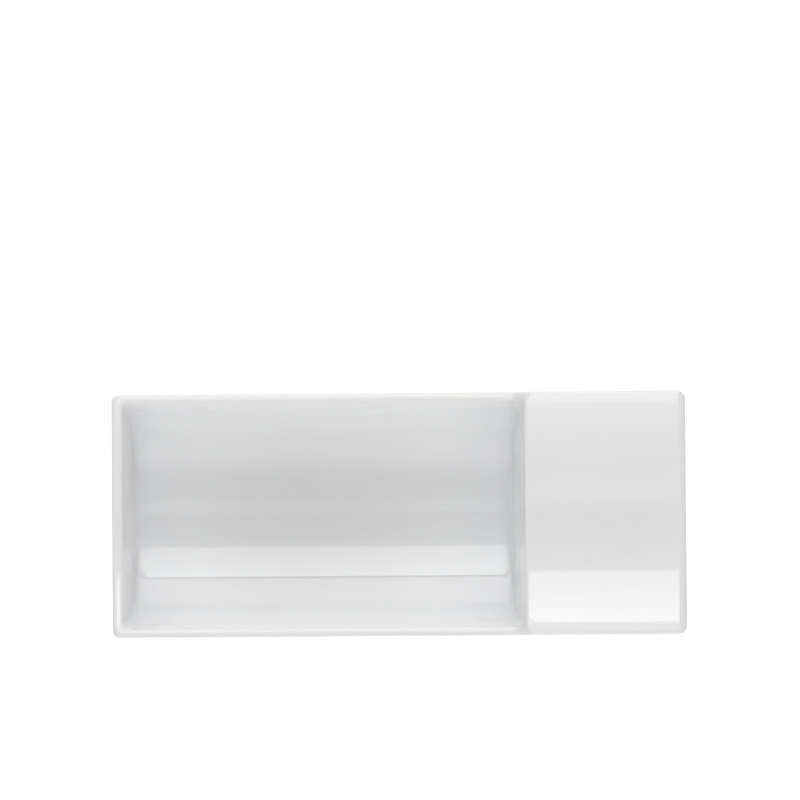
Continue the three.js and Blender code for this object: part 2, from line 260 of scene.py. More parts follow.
# How far along the long side each of its points stands at the rim. The inside has its points there too.
rim_half = outer_half(RIM_TOP - OUTER_EDGE)
CORNER_END = WALL_POINTS - 1 + CORNER_POINTS
LEFT_START = len(rim_half) - LEFT_CORNER_POINTS - (LEFT_WALL_POINTS - 1)
side_share = (rim_half[CORNER_END:LEFT_START, 0] - rim_half[CORNER_END, 0]) / (
    rim_half[LEFT_START - 1, 0] - rim_half[CORNER_END, 0]
)


# Inside, the long side's points start this far past the corners.
SIDE_START = 0.4


def inner_half(z, flare=0.0):
    """The same half outline inside the trough, point for point."""
    height, edge = z - FLOOR_TOP, RIM_TOP - INNER_EDGE - FLOOR_TOP
    inner_left, inner_right = LEFT_RIM_WIDTH - LENGTH / 2, SEAM_X - RIGHT_WALL
    centre = (inner_left + inner_right) / 2
    reach = wall_reach(height, edge, inner_right - centre, INNER_LEAN, FLOOR_END_RADIUS) + flare
    half = wall_reach(height, edge, WIDTH / 2 - LONG_RIM_WIDTH, INNER_LEAN, FLOOR_SIDE_RADIUS) + flare
    left = centre - reach - LEFT_FLOOR_REACH * (1 - height / edge)
    right = centre + reach
    hub = (right - INNER_RIGHT_CORNER, half - INNER_RIGHT_CORNER)
    corner = arc(*hub, INNER_RIGHT_CORNER, 0, 90, CORNER_POINTS)
    wall = np.linspace([right, 0], corner[0], WALL_POINTS)[:-1]
    hub = (left + INNER_LEFT_CORNER, half - INNER_LEFT_CORNER)
    left_corner = arc(*hub, INNER_LEFT_CORNER, 90, 180, LEFT_CORNER_POINTS)
    first, last = corner[-1, 0] - SIDE_START, left_corner[0, 0] + SIDE_START
    xs = first + (last - first) * side_share
    side = np.stack([xs, np.full(len(xs), half)], axis=1)
    left_wall = np.linspace(left_corner[-1], [left, 0], LEFT_WALL_POINTS)[1:]
    return np.concatenate([wall, corner, side, left_corner, left_wall])


def ring(half_outline):
    """Both halves of an outline as one closed loop, counterclockwise from above."""
    return np.concatenate([half_outline, half_outline[-2:0:-1] * np.array([1, -1])])


# Only the outermost stretch of the outline, this wide, is drawn in at the groove.
SIDE_BAND = 3.0


def trough_row(half_outline, z, outer):
    """One row round the trough, lifted towards the ledge by the sweep and drawn in at the groove."""
    loop = ring(half_outline)
    x, y = loop[:, 0], loop[:, 1]
    widest = np.abs(y).max()
    rise = np.clip((z - SWEEP_FOOT) / (RIM_TOP - OUTER_EDGE - SWEEP_FOOT), 0, 1)
    height = z + rise * (LEDGE_TOP - RIM_TOP) * sweep_share(x, widest - np.abs(y))
    if outer:
        on_side = np.abs(y) > widest - SIDE_BAND
        y = np.where(on_side, y - np.sign(y) * groove(x, height), y)
    return np.stack([x, y, height], axis=1)


FIRST_SHARE = 0.01


def closing_rows(row, count, pad, shape=None):
    """Rows that close a flat face from its edge to a line along its middle, which stops short of each end."""
    n = len(row) // 2 + 1
    run = np.concatenate([[0], np.cumsum(np.linalg.norm(np.diff(row[:n, :2], axis=0), axis=1))])
    line_x = row[0, 0] - pad - (row[0, 0] - row[n - 1, 0] - 2 * pad) * run / run[-1]
    line = ring(np.stack([line_x, np.zeros(n)], axis=1))
    rows = []
    for s in [FIRST_SHARE, *np.linspace(0, 1, count + 1)[1:]]:
        flat = row[:, :2] * (1 - s) + line * s
        z = row[:, 2] if shape is None else row[:, 2] - shape(flat[:, 0], flat[:, 1])
        rows.append(np.column_stack([flat, z]))
    return rows


SMOOTH_TO = math.radians(32)


def skin(name, rows, marks=None):
    """A closed mesh from rows of points. Its first and last rows are lines, each joined to itself."""
    rows = np.array(rows)
    count, n = rows.shape[0], rows.shape[1]
    ids = np.arange(count * n).reshape(count, n)
    fold = np.arange(n)
    fold[n // 2 + 1 :] = n - fold[n // 2 + 1 :]
    ids[0], ids[-1] = ids[0][fold], ids[-1][fold]
    a, b = ids[:-1], ids[1:]
    quads = np.stack([a, np.roll(a, -1, 1), np.roll(b, -1, 1), b], axis=2).reshape(-1, 4)
    used, packed = np.unique(quads, return_inverse=True)
    mesh = bpy.data.meshes.new(name)
    mesh.from_pydata((rows.reshape(-1, 3)[used] * MM).tolist(), [], packed.reshape(-1, 4).tolist())
    if marks is not None:
        layer = mesh.attributes.new("glaze_edge", "FLOAT", "POINT")
        layer.data.foreach_set("value", np.repeat(marks, n)[used].astype(np.float32))
    mesh.validate()
    mesh.polygons.foreach_set("use_smooth", [True] * len(mesh.polygons))
    mesh.set_sharp_from_angle(angle=SMOOTH_TO)
    piece = bpy.data.objects.new(name, mesh)
    bpy.context.scene.collection.objects.link(piece)
    return piece


def arc_heights(radius, lean, steps):
    """Heights over a flat base at even steps round the arc that turns it into a leaning wall."""
    return [radius * (1 - math.cos((math.pi / 2 - lean) * k / steps)) for k in range(steps + 1)]


# Heights of the rows: close together round the arcs and even up the straight walls. Rows nearer to each
# other than the least step are left out.
OUTER_STRAIGHT_FROM, INNER_STRAIGHT_FROM, OUTER_LEAST_STEP, INNER_LEAST_STEP = 18.9, 18.2, 0.03, 0.005
outer_z = sorted(
    {BODY_BOTTOM + h for h in arc_heights(BELLY_RADIUS, OUTER_LEAN, 30)}
    | {BODY_BOTTOM + h for h in arc_heights(END_BOTTOM_RADIUS, OUTER_LEAN, 12)[1:]}
    | {FOOT_SHOULDER + d for d in (-0.6, -0.2, 0.2, 0.6)}
    | {SEAM_FOOT, SEAM_FOOT - 0.15, SEAM_FOOT + 0.15, SEAM_FOOT + 0.5}
    | set(np.linspace(OUTER_STRAIGHT_FROM, RIM_TOP - OUTER_EDGE, 22))
)
outer_z = [z for k, z in enumerate(outer_z) if k == 0 or z - outer_z[k - 1] > OUTER_LEAST_STEP]
rows = [trough_row(outer_half(z), z, True) for z in outer_z]
marks = [0.0] * len(rows)
EDGE_STEPS = 8
for a in np.linspace(0, math.pi / 2, EDGE_STEPS + 1)[1:]:
    z = RIM_TOP - OUTER_EDGE * (1 - math.sin(a))
    half_outline = outer_half(RIM_TOP - OUTER_EDGE, OUTER_EDGE * (1 - math.cos(a)))
    rows.append(trough_row(half_outline, z, False))
    marks.append(math.sin(2 * a))
inner_edge = RIM_TOP - INNER_EDGE
for a in np.linspace(0, math.pi / 2, EDGE_STEPS + 1):
    z = inner_edge + INNER_EDGE * math.cos(a)
    half_outline = inner_half(inner_edge, INNER_EDGE * (1 - math.sin(a)))
    rows.append(trough_row(half_outline, z, False))
    marks.append(math.sin(2 * a))
inner_z = sorted(
    {FLOOR_TOP + h for h in arc_heights(FLOOR_SIDE_RADIUS, INNER_LEAN, 26)}
    | {FLOOR_TOP + h for h in arc_heights(FLOOR_END_RADIUS, INNER_LEAN, 12)[1:]}
    | set(np.linspace(INNER_STRAIGHT_FROM, inner_edge - 0.6, 16)),
    reverse=True,
)
inner_z = [z for k, z in enumerate(inner_z) if k == 0 or inner_z[k - 1] - z > INNER_LEAST_STEP]
rows += [trough_row(inner_half(z), z, False) for z in inner_z]
marks += [0.0] * len(inner_z)


def floor_crown(x, y):
    """The floor stands a hair higher along its middle, as the mould left it."""
    wall_height = RIM_TOP - INNER_EDGE - FLOOR_TOP
    half = wall_reach(0, wall_height, WIDTH / 2 - LONG_RIM_WIDTH, INNER_LEAN, FLOOR_SIDE_RADIUS)
    left, right = rows[-1][:, 0].min(), rows[-1][:, 0].max()
    ends = smooth((x - left) / CROWN_FADE) * smooth((right - x) / CROWN_FADE)
    return -FLOOR_CROWN * np.clip(1 - (y / half) ** 2, 0, 1) * ends


under = closing_rows(rows[0], count=5, pad=6.0)
inside = closing_rows(rows[-1], count=14, pad=5.0, shape=floor_crown)
rows = under[::-1] + rows + inside
marks = [0.0] * len(under) + marks + [0.0] * len(inside)
trough = skin("trough_porcelain", rows, np.array(marks))


GLAZED_BODY, THIN_GLAZE, DARKER_CLOUD = (0.866, 0.873, 0.884), (0.83, 0.83, 0.79), 0.982
GLAZE_ROUGHNESS, GLAZE_IOR, GLAZE_WAVE = 0.01, 1.52, 0.0006


def porcelain(name):
    """Clear glaze over white porcelain: cloudy by a shade, thinner and warmer on the edges, and very
    slightly wavy where the glaze has flowed."""
    material = bpy.data.materials.new(name)
    material.use_nodes = True
    nodes, links = material.node_tree.nodes, material.node_tree.links
    shader = nodes["Principled BSDF"]
    shader.inputs["Roughness"].default_value = GLAZE_ROUGHNESS
    shader.inputs["IOR"].default_value = GLAZE_IOR
    place = nodes.new("ShaderNodeTexCoord")

    cloud = nodes.new("ShaderNodeTexNoise")
    cloud.inputs["Scale"].default_value = 38
    cloud.inputs["Detail"].default_value = 3
    links.new(place.outputs["Object"], cloud.inputs["Vector"])
    tone = nodes.new("ShaderNodeValToRGB")
    tone.color_ramp.elements[0].position, tone.color_ramp.elements[1].position = 0.3, 0.7
    tone.color_ramp.elements[0].color = (*[c * DARKER_CLOUD for c in GLAZED_BODY], 1)
    tone.color_ramp.elements[1].color = (*GLAZED_BODY, 1)
    links.new(cloud.outputs["Fac"], tone.inputs["Fac"])

    edge = nodes.new("ShaderNodeAttribute")
    edge.attribute_name = "glaze_edge"
    patchy = nodes.new("ShaderNodeMath")
    patchy.operation = "MULTIPLY"
    links.new(edge.outputs["Fac"], patchy.inputs[0])
    links.new(cloud.outputs["Fac"], patchy.inputs[1])
    worn = nodes.new("ShaderNodeMix")
    worn.data_type = "RGBA"
    worn.inputs["B"].default_value = (*THIN_GLAZE, 1)
    links.new(patchy.outputs[0], worn.inputs["Factor"])
    links.new(tone.outputs["Color"], worn.inputs["A"])
    links.new(worn.outputs["Result"], shader.inputs["Base Color"])

    flow = nodes.new("ShaderNodeTexNoise")
    flow.inputs["Scale"].default_value = 45
    flow.inputs["Detail"].default_value = 1
    links.new(place.outputs["Object"], flow.inputs["Vector"])
    bump = nodes.new("ShaderNodeBump")
    bump.inputs["Strength"].default_value = 1
    bump.inputs["Distance"].default_value = GLAZE_WAVE * MM
    links.new(flow.outputs["Fac"], bump.inputs["Height"])
    links.new(bump.outputs["Normal"], shader.inputs["Normal"])
    return material


white_glaze = porcelain("white_glaze")
trough.data.materials.append(white_glaze)
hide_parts("trough")
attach(trough, "root")

# Ledge. The raised block at the right end that a thumb or a garnish rests on: flat top, nearly upright
# sides and a rounded belly, cast hollow with a 3 mm wall and luted to the trough's end wall before
# glazing. Slip and air left it through the round hole underneath.
LEDGE_END, LEDGE_END_BOTTOM, LEDGE_END_LEAN = 2.4, 1.0, 0.5
LEDGE_WALL, VENT_RADIUS, VENT_LIP, VENT_FROM_SEAM, CUT_PAST = 3.0, 3.0, 0.7, 10.0, 1.0
LEDGE_SIDE_FROM, LEDGE_EDGE_FROM, END_LINE_PAD = 33.0, LEDGE_TOP - 1.0, 4.0


def ledge_row(x, half_section):
    """A closed loop round the ledge from half of its section, from the middle of the underside round."""
    x = np.broadcast_to(x, len(half_section))
    y, z = half_section[:, 0], half_section[:, 1]
    y = y - np.where((y > LEDGE_SIDE_FROM) & (z < LEDGE_EDGE_FROM), groove(x, z), 0)
    points = np.stack([x, y, z], axis=1)
    return np.concatenate([points, points[-2:0:-1] * np.array([1, -1, 1])])


def end_line(row, x):
    """Rows that close an upright end face to a short upright line in its middle."""
    n = len(row) // 2 + 1
    run = np.concatenate([[0], np.cumsum(np.linalg.norm(np.diff(row[:n, 1:], axis=0), axis=1))])
    line_z = row[0, 2] + END_LINE_PAD + (row[n - 1, 2] - row[0, 2] - 2 * END_LINE_PAD) * run / run[-1]
    half_line = np.stack([np.full(n, x), np.zeros(n), line_z], axis=1)
    line = np.concatenate([half_line, half_line[-2:0:-1]])
    return [row * (1 - s) + line * s for s in np.linspace(0, 1, 6)[1:]]


ledge_rows = []
for t in np.linspace(0, 1, 15):
    a = flare_start + (math.pi / 2 - flare_start) * t**FLARE_FADE
    x = SEAM_X + LEDGE_FLARE * (np.cos(flare_start) - np.cos(a)) / np.cos(flare_start)
    out = flare_reach * (1 - np.sin(a)) / (1 - np.sin(flare_start))
    ledge_rows.append(ledge_row(x, section + section_normal * out[:, None]))
for x in np.linspace(SEAM_X + LEDGE_FLARE, LENGTH / 2 - LEDGE_END, 22)[1:-1]:
    ledge_rows.append(ledge_row(x, section))
share = (section[:, 1] - LEDGE_BOTTOM) / (LEDGE_TOP - LEDGE_BOTTOM)
for a in np.linspace(0, math.pi / 2, 13):
    inset = LEDGE_END * (1 - math.cos(a))
    bottom_in = LEDGE_END_BOTTOM * inset / LEDGE_END
    across = np.clip(section[:, 0] / (WIDTH / 2 - OUTER_EDGE), 0, 1) * inset
    end_z = section[:, 1] + bottom_in - share * (bottom_in + inset)
    down = np.clip(LEDGE_TOP - LEDGE_END - end_z, 0, None) / (LEDGE_TOP - LEDGE_END - LEDGE_BOTTOM)
    x = LENGTH / 2 - LEDGE_END * (1 - math.sin(a)) - LEDGE_END_LEAN * down * math.sin(a)
    ledge_rows.append(ledge_row(x, np.stack([section[:, 0] - across, end_z], axis=1)))
start_rows = end_line(ledge_rows[0], SEAM_X)
end_rows = end_line(ledge_rows[-1], LENGTH / 2 - LEDGE_END_LEAN / 2)
ledge_rows = start_rows[::-1] + ledge_rows + end_rows
ledge = skin("ledge_porcelain", ledge_rows)


HOLLOW_SHOULDER = 1.0


def hollow_section(inset):
    """Half section of the hollow, about the same distance inside the ledge's skin all round."""
    flat = WIDTH / 2 - LEDGE_INSET - LEDGE_BELLY
    radius, bottom, top = LEDGE_BELLY - inset, LEDGE_BOTTOM + inset, LEDGE_TOP - inset
    quarter = math.pi / 2
    belly = [
        (flat + radius * math.sin(a), bottom + radius * (1 - math.cos(a))) for a in np.linspace(0, quarter, 9)
    ]
    shoulder_hub = (flat + radius - HOLLOW_SHOULDER, top - HOLLOW_SHOULDER)
    shoulder = [
        (shoulder_hub[0] + HOLLOW_SHOULDER * math.cos(a), shoulder_hub[1] + HOLLOW_SHOULDER * math.sin(a))
        for a in np.linspace(0, quarter, 5)
    ]
    return np.array([(0, bottom), (flat / 2, bottom), *belly, *shoulder, (flat / 2, top), (0, top)])


def lathe(name, profile, centre, steps):
    """A closed solid of revolution about an upright axis, from (radius, height) points from the bottom up."""
    angles = np.linspace(0, 2 * math.pi, steps, endpoint=False)
    points = [(centre + r * math.cos(a), r * math.sin(a), z) for r, z in profile for a in angles]
    faces = [
        (k * steps + j, k * steps + (j + 1) % steps, (k + 1) * steps + (j + 1) % steps, (k + 1) * steps + j)
        for k in range(len(profile) - 1)
        for j in range(steps)
    ]
    faces += [tuple(range(steps))[::-1], tuple(range((len(profile) - 1) * steps, len(profile) * steps))]
    mesh = bpy.data.meshes.new(name)
    mesh.from_pydata((np.array(points) * MM).tolist(), [], faces)
    solid = bpy.data.objects.new(name, mesh)
    bpy.context.scene.collection.objects.link(solid)
    return solid


# The hollow runs out through the seam, and its far end is rounded: how far back each row is, and how far in.
hollow_start, hollow_end = SEAM_X - CUT_PAST, LENGTH / 2 - LEDGE_WALL
HOLLOW_END_ROUND = [(1.5, 0.0), (0.5, 0.4), (0.0, 1.5)]
hollow_rows = [ledge_row(hollow_start, hollow_section(LEDGE_WALL))]
for back, inset in HOLLOW_END_ROUND:
    hollow_rows.append(ledge_row(hollow_end - back, hollow_section(LEDGE_WALL + inset)))
near_face = end_line(hollow_rows[0], hollow_start)[::-1]
far_face = end_line(hollow_rows[-1], hollow_end)
hollow = skin("hollow_cutter", near_face + hollow_rows + far_face)
lip = [
    (VENT_RADIUS + VENT_LIP * (1 - math.sin(a)), LEDGE_BOTTOM + VENT_LIP * (1 - math.cos(a)))
    for a in np.linspace(0, math.pi / 2, 7)
]
vent_start = (VENT_RADIUS + VENT_LIP, LEDGE_BOTTOM - CUT_PAST)
vent_end = (VENT_RADIUS, LEDGE_BOTTOM + LEDGE_WALL + CUT_PAST)
vent = lathe("vent_cutter", [vent_start, *lip, vent_end], SEAM_X + VENT_FROM_SEAM, steps=48)
for cutter in (hollow, vent):
    cut = ledge.modifiers.new("cut", "BOOLEAN")
    cut.operation, cut.solver, cut.object = "DIFFERENCE", "EXACT", cutter
bpy.context.view_layer.update()
cut_mesh = bpy.data.meshes.new_from_object(ledge.evaluated_get(bpy.context.evaluated_depsgraph_get()))
ledge.modifiers.clear()
ledge.data = cut_mesh
cut_mesh.name = "ledge_porcelain"
for cutter in (hollow, vent):
    bpy.data.objects.remove(cutter)
cut_mesh.polygons.foreach_set("use_smooth", [True] * len(cut_mesh.polygons))
cut_mesh.set_sharp_from_angle(angle=SMOOTH_TO)
cut_mesh.materials.clear()
cut_mesh.materials.append(white_glaze)
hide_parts("ledge")
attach(ledge, "root")

# Foot ring. A low rectangular ring that carries the dish, luted under the trough. Glazed on its sides; its
# lower edge is wiped bare before firing, so that it doesn't stick to the kiln shelf.
FOOT_HEIGHT, RING_WIDTH, RING_INNER_LEAN = BODY_BOTTOM, 4.0, math.radians(12)
FOOT_EDGE, FOOT_TOP_FILLET, FOOT_LEAST_RADIUS, WELD = 0.8, 1.3, 1.0, 0.002
ROUND_STEPS, SECTION_CUTS, EDGE_CUTS, CORNER_SHARE = 96, 5, 4, 0.75
FLARE_WHOLE_TO, FLARE_GONE_FROM, FOOT_SMOOTH_TO = 8.0, 15.0, math.radians(40)

ring_tree = bpy.data.node_groups.new("foot_ring", "GeometryNodeTree")
ring_tree.interface.new_socket("Geometry", in_out="OUTPUT", socket_type="NodeSocketGeometry")
FOOT_INPUTS = [
    ("Length", FOOT_LENGTH * MM),
    ("Width", 2 * foot_half(0) * MM),
    ("Height", FOOT_HEIGHT * MM),
    ("Spread", FOOT_HEIGHT * math.tan(FOOT_LEAN) * MM),
    ("Ring Width", RING_WIDTH * MM),
    ("Inner Spread", FOOT_HEIGHT * math.tan(RING_INNER_LEAN) * MM),
    ("Corner Radius", FOOT_CORNER * MM),
    ("Edge Radius", FOOT_EDGE * MM),
    ("Top Fillet", FOOT_TOP_FILLET * MM),
    ("Middle X", BODY_X * MM),
]
FOOT_SOCKETS = {
    name: ring_tree.interface.new_socket(name, in_out="INPUT", socket_type="NodeSocketFloat").identifier
    for name, value in FOOT_INPUTS
}
nodes, links = ring_tree.nodes, ring_tree.links
given = nodes.new("NodeGroupInput").outputs


def wire(socket, value):
    """Gives a socket a number, or links it to another socket."""
    if isinstance(value, (int, float)):
        socket.default_value = value
    else:
        links.new(value, socket)


def reckon(operation, *values):
    """One sum of the tree: its inputs are numbers or sockets."""
    node = nodes.new("ShaderNodeMath")
    node.operation = operation
    for socket, value in zip(node.inputs, values):
        wire(socket, value)
    return node.outputs[0]


def joined(x, y, z):
    """One place from three numbers or sockets."""
    node = nodes.new("ShaderNodeCombineXYZ")
    for socket, value in zip(node.inputs, (x, y, z)):
        wire(socket, value)
    return node.outputs[0]


def ramped(value, start, end):
    """0 before the start, 1 after the end and even between them."""
    node = nodes.new("ShaderNodeMapRange")
    wire(node.inputs["Value"], value)
    node.inputs["From Min"].default_value, node.inputs["From Max"].default_value = start, end
    return node.outputs["Result"]


# The ring's section, from its outer lower edge round: how far out it stands, and how high.
corners = nodes.new("GeometryNodeCurvePrimitiveQuadrilateral")
corners.mode = "POINTS"
inner_foot = reckon("MULTIPLY", given["Ring Width"], -1.0)
wire(corners.inputs["Point 1"], joined(0.0, 0.0, 0.0))
wire(corners.inputs["Point 2"], joined(given["Spread"], given["Height"], 0.0))
inner_top = reckon("SUBTRACT", inner_foot, given["Inner Spread"])
wire(corners.inputs["Point 3"], joined(inner_top, given["Height"], 0.0))
wire(corners.inputs["Point 4"], joined(inner_foot, 0.0, 0.0))
corner_number = nodes.new("GeometryNodeInputIndex").outputs[0]
lower = reckon("ADD", reckon("LESS_THAN", corner_number, 0.5), reckon("GREATER_THAN", corner_number, 2.5))
rounded = nodes.new("GeometryNodeFilletCurve")
rounded.mode = "POLY"
rounded.inputs["Count"].default_value = EDGE_CUTS
links.new(corners.outputs["Curve"], rounded.inputs["Curve"])
links.new(reckon("MULTIPLY", lower, given["Edge Radius"]), rounded.inputs["Radius"])

cut_up = nodes.new("GeometryNodeSubdivideCurve")
cut_up.inputs["Cuts"].default_value = SECTION_CUTS
links.new(rounded.outputs["Curve"], cut_up.inputs["Curve"])
counted = nodes.new("GeometryNodeAttributeDomainSize")
counted.component = "CURVE"
links.new(cut_up.outputs["Curve"], counted.inputs["Geometry"])
section_points = counted.outputs["Point Count"]

# A sheet of squares, one way along the ring and the other way round its section, is bent into the ring.
sheet = nodes.new("GeometryNodeMeshGrid")
sheet.inputs["Vertices X"].default_value = ROUND_STEPS + 1
links.new(reckon("ADD", section_points, 1.0), sheet.inputs["Vertices Y"])
on_sheet = nodes.new("ShaderNodeSeparateXYZ")
links.new(nodes.new("GeometryNodeInputPosition").outputs[0], on_sheet.inputs[0])
along = reckon("ADD", on_sheet.outputs["X"], 0.5)
around = reckon("ADD", on_sheet.outputs["Y"], 0.5)
step = reckon("ROUND", reckon("MULTIPLY", around, section_points))
picked = nodes.new("GeometryNodeSampleIndex")
picked.data_type, picked.domain = "FLOAT_VECTOR", "POINT"
links.new(cut_up.outputs["Curve"], picked.inputs["Geometry"])
links.new(nodes.new("GeometryNodeInputPosition").outputs[0], picked.inputs["Value"])
links.new(reckon("FLOORED_MODULO", step, section_points), picked.inputs["Index"])
on_section = nodes.new("ShaderNodeSeparateXYZ")
links.new(picked.outputs["Value"], on_section.inputs[0])
outward, height = on_section.outputs["X"], on_section.outputs["Y"]

# Each quarter of the way along first goes round a corner and then straight down a side.
turn = 0.0
for quarter in range(4):
    turn = reckon("ADD", ramped(along, quarter / 4, (quarter + CORNER_SHARE) / 4), turn)
turn = reckon("MULTIPLY", turn, math.pi / 2)


def side_of(out_quarter, back_quarter):
    """1 on the positive side of the middle and -1 on the other, crossing over on two straight sides."""
    back = ramped(along, (back_quarter + CORNER_SHARE) / 4, (back_quarter + 1) / 4)
    out = ramped(along, (out_quarter + CORNER_SHARE) / 4, (out_quarter + 1) / 4)
    return reckon("ADD", reckon("MULTIPLY", reckon("SUBTRACT", back, out), 2.0), 1.0)


side_x, side_y = side_of(0, 2), side_of(1, 3)
radius = reckon("ADD", given["Corner Radius"], reckon("MINIMUM", outward, 0.0))
radius = reckon("MAXIMUM", radius, FOOT_LEAST_RADIUS * MM)

# Under the trough the ring's two ends flare out in a small fillet.
over = reckon("SUBTRACT", height, reckon("SUBTRACT", given["Height"], given["Top Fillet"]))
over = reckon("MAXIMUM", over, 0.0)
fillet_squared = reckon("MULTIPLY", given["Top Fillet"], given["Top Fillet"])
squared = reckon("SUBTRACT", fillet_squared, reckon("MULTIPLY", over, over))
flare = reckon("SUBTRACT", given["Top Fillet"], reckon("SQRT", reckon("MAXIMUM", squared, 0.0)))
outer_side = reckon("GREATER_THAN", outward, reckon("MULTIPLY", given["Ring Width"], -0.5))
flare = reckon("MULTIPLY", flare, outer_side)


def from_middle(size, side, turned, extra):
    """How far a point of the sheet goes from the ring's middle, along its length or across it."""
    reach = reckon("SUBTRACT", reckon("ADD", reckon("MULTIPLY", size, 0.5), outward), radius)
    round_corner = reckon("MULTIPLY", reckon("ADD", radius, extra), turned)
    return reckon("ADD", reckon("MULTIPLY", side, reach), round_corner)


# The fillet fades out where the trough's flat underside does, before the belly rounds up beside it.
across_ring = from_middle(given["Width"], side_y, reckon("SINE", turn), 0.0)
gone = ramped(reckon("ABSOLUTE", across_ring), FLARE_WHOLE_TO * MM, FLARE_GONE_FROM * MM)
flare = reckon("MULTIPLY", flare, reckon("SUBTRACT", 1.0, gone))
bent = joined(
    reckon("ADD", from_middle(given["Length"], side_x, reckon("COSINE", turn), flare), given["Middle X"]),
    across_ring,
    height,
)
moved = nodes.new("GeometryNodeSetPosition")
links.new(sheet.outputs["Mesh"], moved.inputs["Geometry"])
links.new(bent, moved.inputs["Position"])
welded = nodes.new("GeometryNodeMergeByDistance")
welded.inputs["Distance"].default_value = WELD * MM
links.new(moved.outputs[0], welded.inputs["Geometry"])
real = nodes.new("GeometryNodeRealizeInstances")
links.new(welded.outputs[0], real.inputs[0])
painted = nodes.new("GeometryNodeSetMaterial")
links.new(real.outputs[0], painted.inputs["Geometry"])
links.new(painted.outputs[0], nodes.new("NodeGroupOutput").inputs[0])

BARE_CLAY, BARE_ROUGHNESS = (0.70, 0.685, 0.65, 1), 0.7
BARE_HEIGHT, BARE_BLUR, BARE_RAGGED = 0.85, 0.2, 0.4
foot_porcelain = porcelain("foot_porcelain")
nodes, links = foot_porcelain.node_tree.nodes, foot_porcelain.node_tree.links
shader = nodes["Principled BSDF"]
where, split = nodes.new("ShaderNodeTexCoord"), nodes.new("ShaderNodeSeparateXYZ")
links.new(where.outputs["Object"], split.inputs[0])
ragged = nodes.new("ShaderNodeTexNoise")
ragged.inputs["Scale"].default_value, ragged.inputs["Detail"].default_value = 260, 2
links.new(where.outputs["Object"], ragged.inputs["Vector"])
line = reckon("ADD", split.outputs["Z"], reckon("MULTIPLY", ragged.outputs["Fac"], BARE_RAGGED * MM))
glazed = ramped(line, BARE_HEIGHT * MM, (BARE_HEIGHT + BARE_BLUR) * MM)
bare = nodes.new("ShaderNodeMix")
bare.data_type = "RGBA"
bare.inputs["A"].default_value = BARE_CLAY
links.new(glazed, bare.inputs["Factor"])
links.new(shader.inputs["Base Color"].links[0].from_socket, bare.inputs["B"])
links.new(bare.outputs["Result"], shader.inputs["Base Color"])
gloss = nodes.new("ShaderNodeMapRange")
gloss.inputs["To Min"].default_value = BARE_ROUGHNESS
gloss.inputs["To Max"].default_value = GLAZE_ROUGHNESS
links.new(glazed, gloss.inputs["Value"])
links.new(gloss.outputs["Result"], shader.inputs["Roughness"])
painted.inputs["Material"].default_value = foot_porcelain

foot = bpy.data.objects.new("foot_ring_porcelain", bpy.data.meshes.new("foot_ring_porcelain"))
bpy.context.scene.collection.objects.link(foot)
shaped = foot.modifiers.new("foot_ring", "NODES")
shaped.node_group = ring_tree
for name, value in FOOT_INPUTS:
    shaped[FOOT_SOCKETS[name]] = value
bpy.context.view_layer.update()
foot_mesh = bpy.data.meshes.new_from_object(foot.evaluated_get(bpy.context.evaluated_depsgraph_get()))
foot.modifiers.clear()
foot.data = foot_mesh
foot_mesh.name = "foot_ring_porcelain"
foot_mesh.polygons.foreach_set("use_smooth", [True] * len(foot_mesh.polygons))
foot_mesh.set_sharp_from_angle(angle=FOOT_SMOOTH_TO)
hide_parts("foot_ring")
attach(foot, "root")

# Table and room. A white table in a white room, lit by soft lamps at the back, in front, overhead and low
# down on all four sides.
def seen_white(nodes, links):
    """1 where the camera, a reflection or a view through glass looks at the backdrop itself."""
    rays = nodes.new("ShaderNodeLightPath")
    total = rays.outputs["Is Camera Ray"]
    for kind in ("Is Glossy Ray", "Is Transmission Ray"):
        more = nodes.new("ShaderNodeMath")
        more.operation = "MAXIMUM"
        links.new(total, more.inputs[0])
        links.new(rays.outputs[kind], more.inputs[1])
        total = more.outputs[0]
    return total


# The table lights the dish as a white cloth would. Where it is seen or mirrored it glows as well, so that
# it is white and still shows the dish's shadow.
TABLE_CLOTH, SEEN_CLOTH, SEEN_GLOW = (0.72, 0.72, 0.73, 1), (0.5, 0.5, 0.5, 1), 0.72
TABLE_HALF = 4.0
TABLE_CORNERS = [(x * TABLE_HALF, y * TABLE_HALF, 0) for x, y in ((-1, -1), (1, -1), (1, 1), (-1, 1))]
table_mesh = bpy.data.meshes.new("table")
table_mesh.from_pydata(TABLE_CORNERS, [], [(0, 1, 2, 3)])
table = bpy.data.objects.new("table", table_mesh)
bpy.context.scene.collection.objects.link(table)
table_white = bpy.data.materials.new("table_white")
table_white.use_nodes = True
nodes, links = table_white.node_tree.nodes, table_white.node_tree.links
nodes.clear()
plain = nodes.new("ShaderNodeBsdfDiffuse")
plain.inputs["Color"].default_value = TABLE_CLOTH
shown = nodes.new("ShaderNodeBsdfDiffuse")
shown.inputs["Color"].default_value = SEEN_CLOTH
glow = nodes.new("ShaderNodeEmission")
glow.inputs["Strength"].default_value = SEEN_GLOW
added, chosen = nodes.new("ShaderNodeAddShader"), nodes.new("ShaderNodeMixShader")
out = nodes.new("ShaderNodeOutputMaterial")
links.new(shown.outputs[0], added.inputs[0])
links.new(glow.outputs[0], added.inputs[1])
links.new(seen_white(nodes, links), chosen.inputs[0])
links.new(plain.outputs[0], chosen.inputs[1])
links.new(added.outputs[0], chosen.inputs[2])
links.new(chosen.outputs[0], out.inputs[0])
table_mesh.materials.append(table_white)

